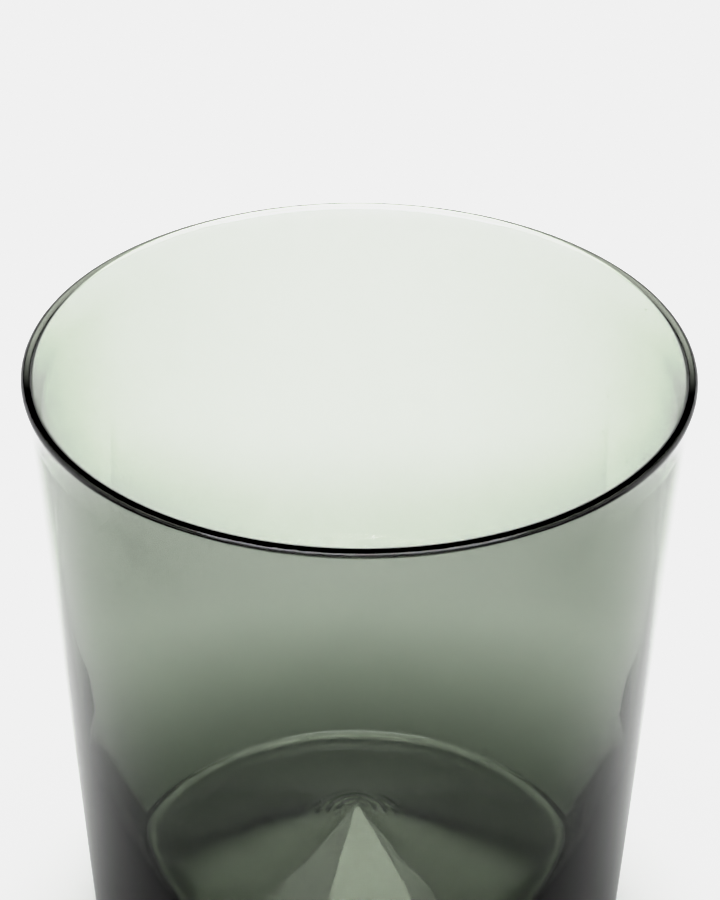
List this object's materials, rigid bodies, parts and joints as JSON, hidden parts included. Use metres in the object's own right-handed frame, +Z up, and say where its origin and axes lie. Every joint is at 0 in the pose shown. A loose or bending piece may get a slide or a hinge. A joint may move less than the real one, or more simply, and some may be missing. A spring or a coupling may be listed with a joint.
{
  "type": "glass vase",
  "caption": "Wide-mouthed vase of smoke-green blown glass with a rounded lip, slightly leaning walls and a heavy base whose floor rises to a rounded centre.",
  "frame": {"origin": "centre of the base, on the plane that the vase stands on", "axes": "+Z up along the vase's own axis; +X and +Y lie in the table plane, and the vase is the same all round"},
  "size_m": [0.16, 0.16, 0.16],
  "materials": {
    "smoke_glass": "fire-polished, smooth, see-through, grey-green"
  },
  "bodies": {
    "root": {"glass_body": "smoke_glass"}
  },
  "joints": []
}
